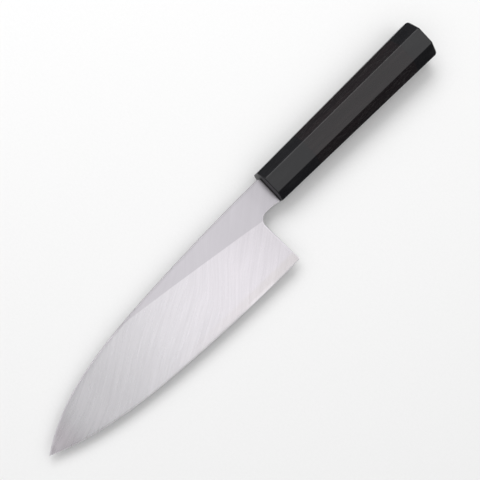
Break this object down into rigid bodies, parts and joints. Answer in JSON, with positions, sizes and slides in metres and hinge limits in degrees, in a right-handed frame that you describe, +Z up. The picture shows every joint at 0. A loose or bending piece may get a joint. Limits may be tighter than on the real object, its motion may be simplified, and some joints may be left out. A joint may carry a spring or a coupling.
{
  "type": "gyuto knife",
  "caption": "Double-bevel chef's knife with a wide satin bevel and an octagonal wooden handle with a horn ferrule and end cap.",
  "frame": {"origin": "middle of the handle body's lower flat, on the surface the knife lies on", "axes": "+X along the knife towards the tip, +Y towards the cutting edge, +Z up out of the blade's left face"},
  "size_m": [0.3284, 0.0553, 0.021],
  "materials": {
    "satin_steel": "satin, with fine slanting scratches across the bevel",
    "black_horn": "polished black horn with a faint grain",
    "ebony": "smooth, satin, fine straight grain",
    "dowel_wood": "bare turned wood",
    "set_resin": "set adhesive",
    "dark_sealant": "dark sealant"
  },
  "bodies": {
    "root": {"blade": "satin_steel", "ferrule": "black_horn", "handle_body": "ebony", "end_cap": "black_horn", "tang_dowel": "dowel_wood", "cap_dowel": "dowel_wood", "tang_bedding": "set_resin", "mouth_seal": "dark_sealant"}
  },
  "joints": []
}
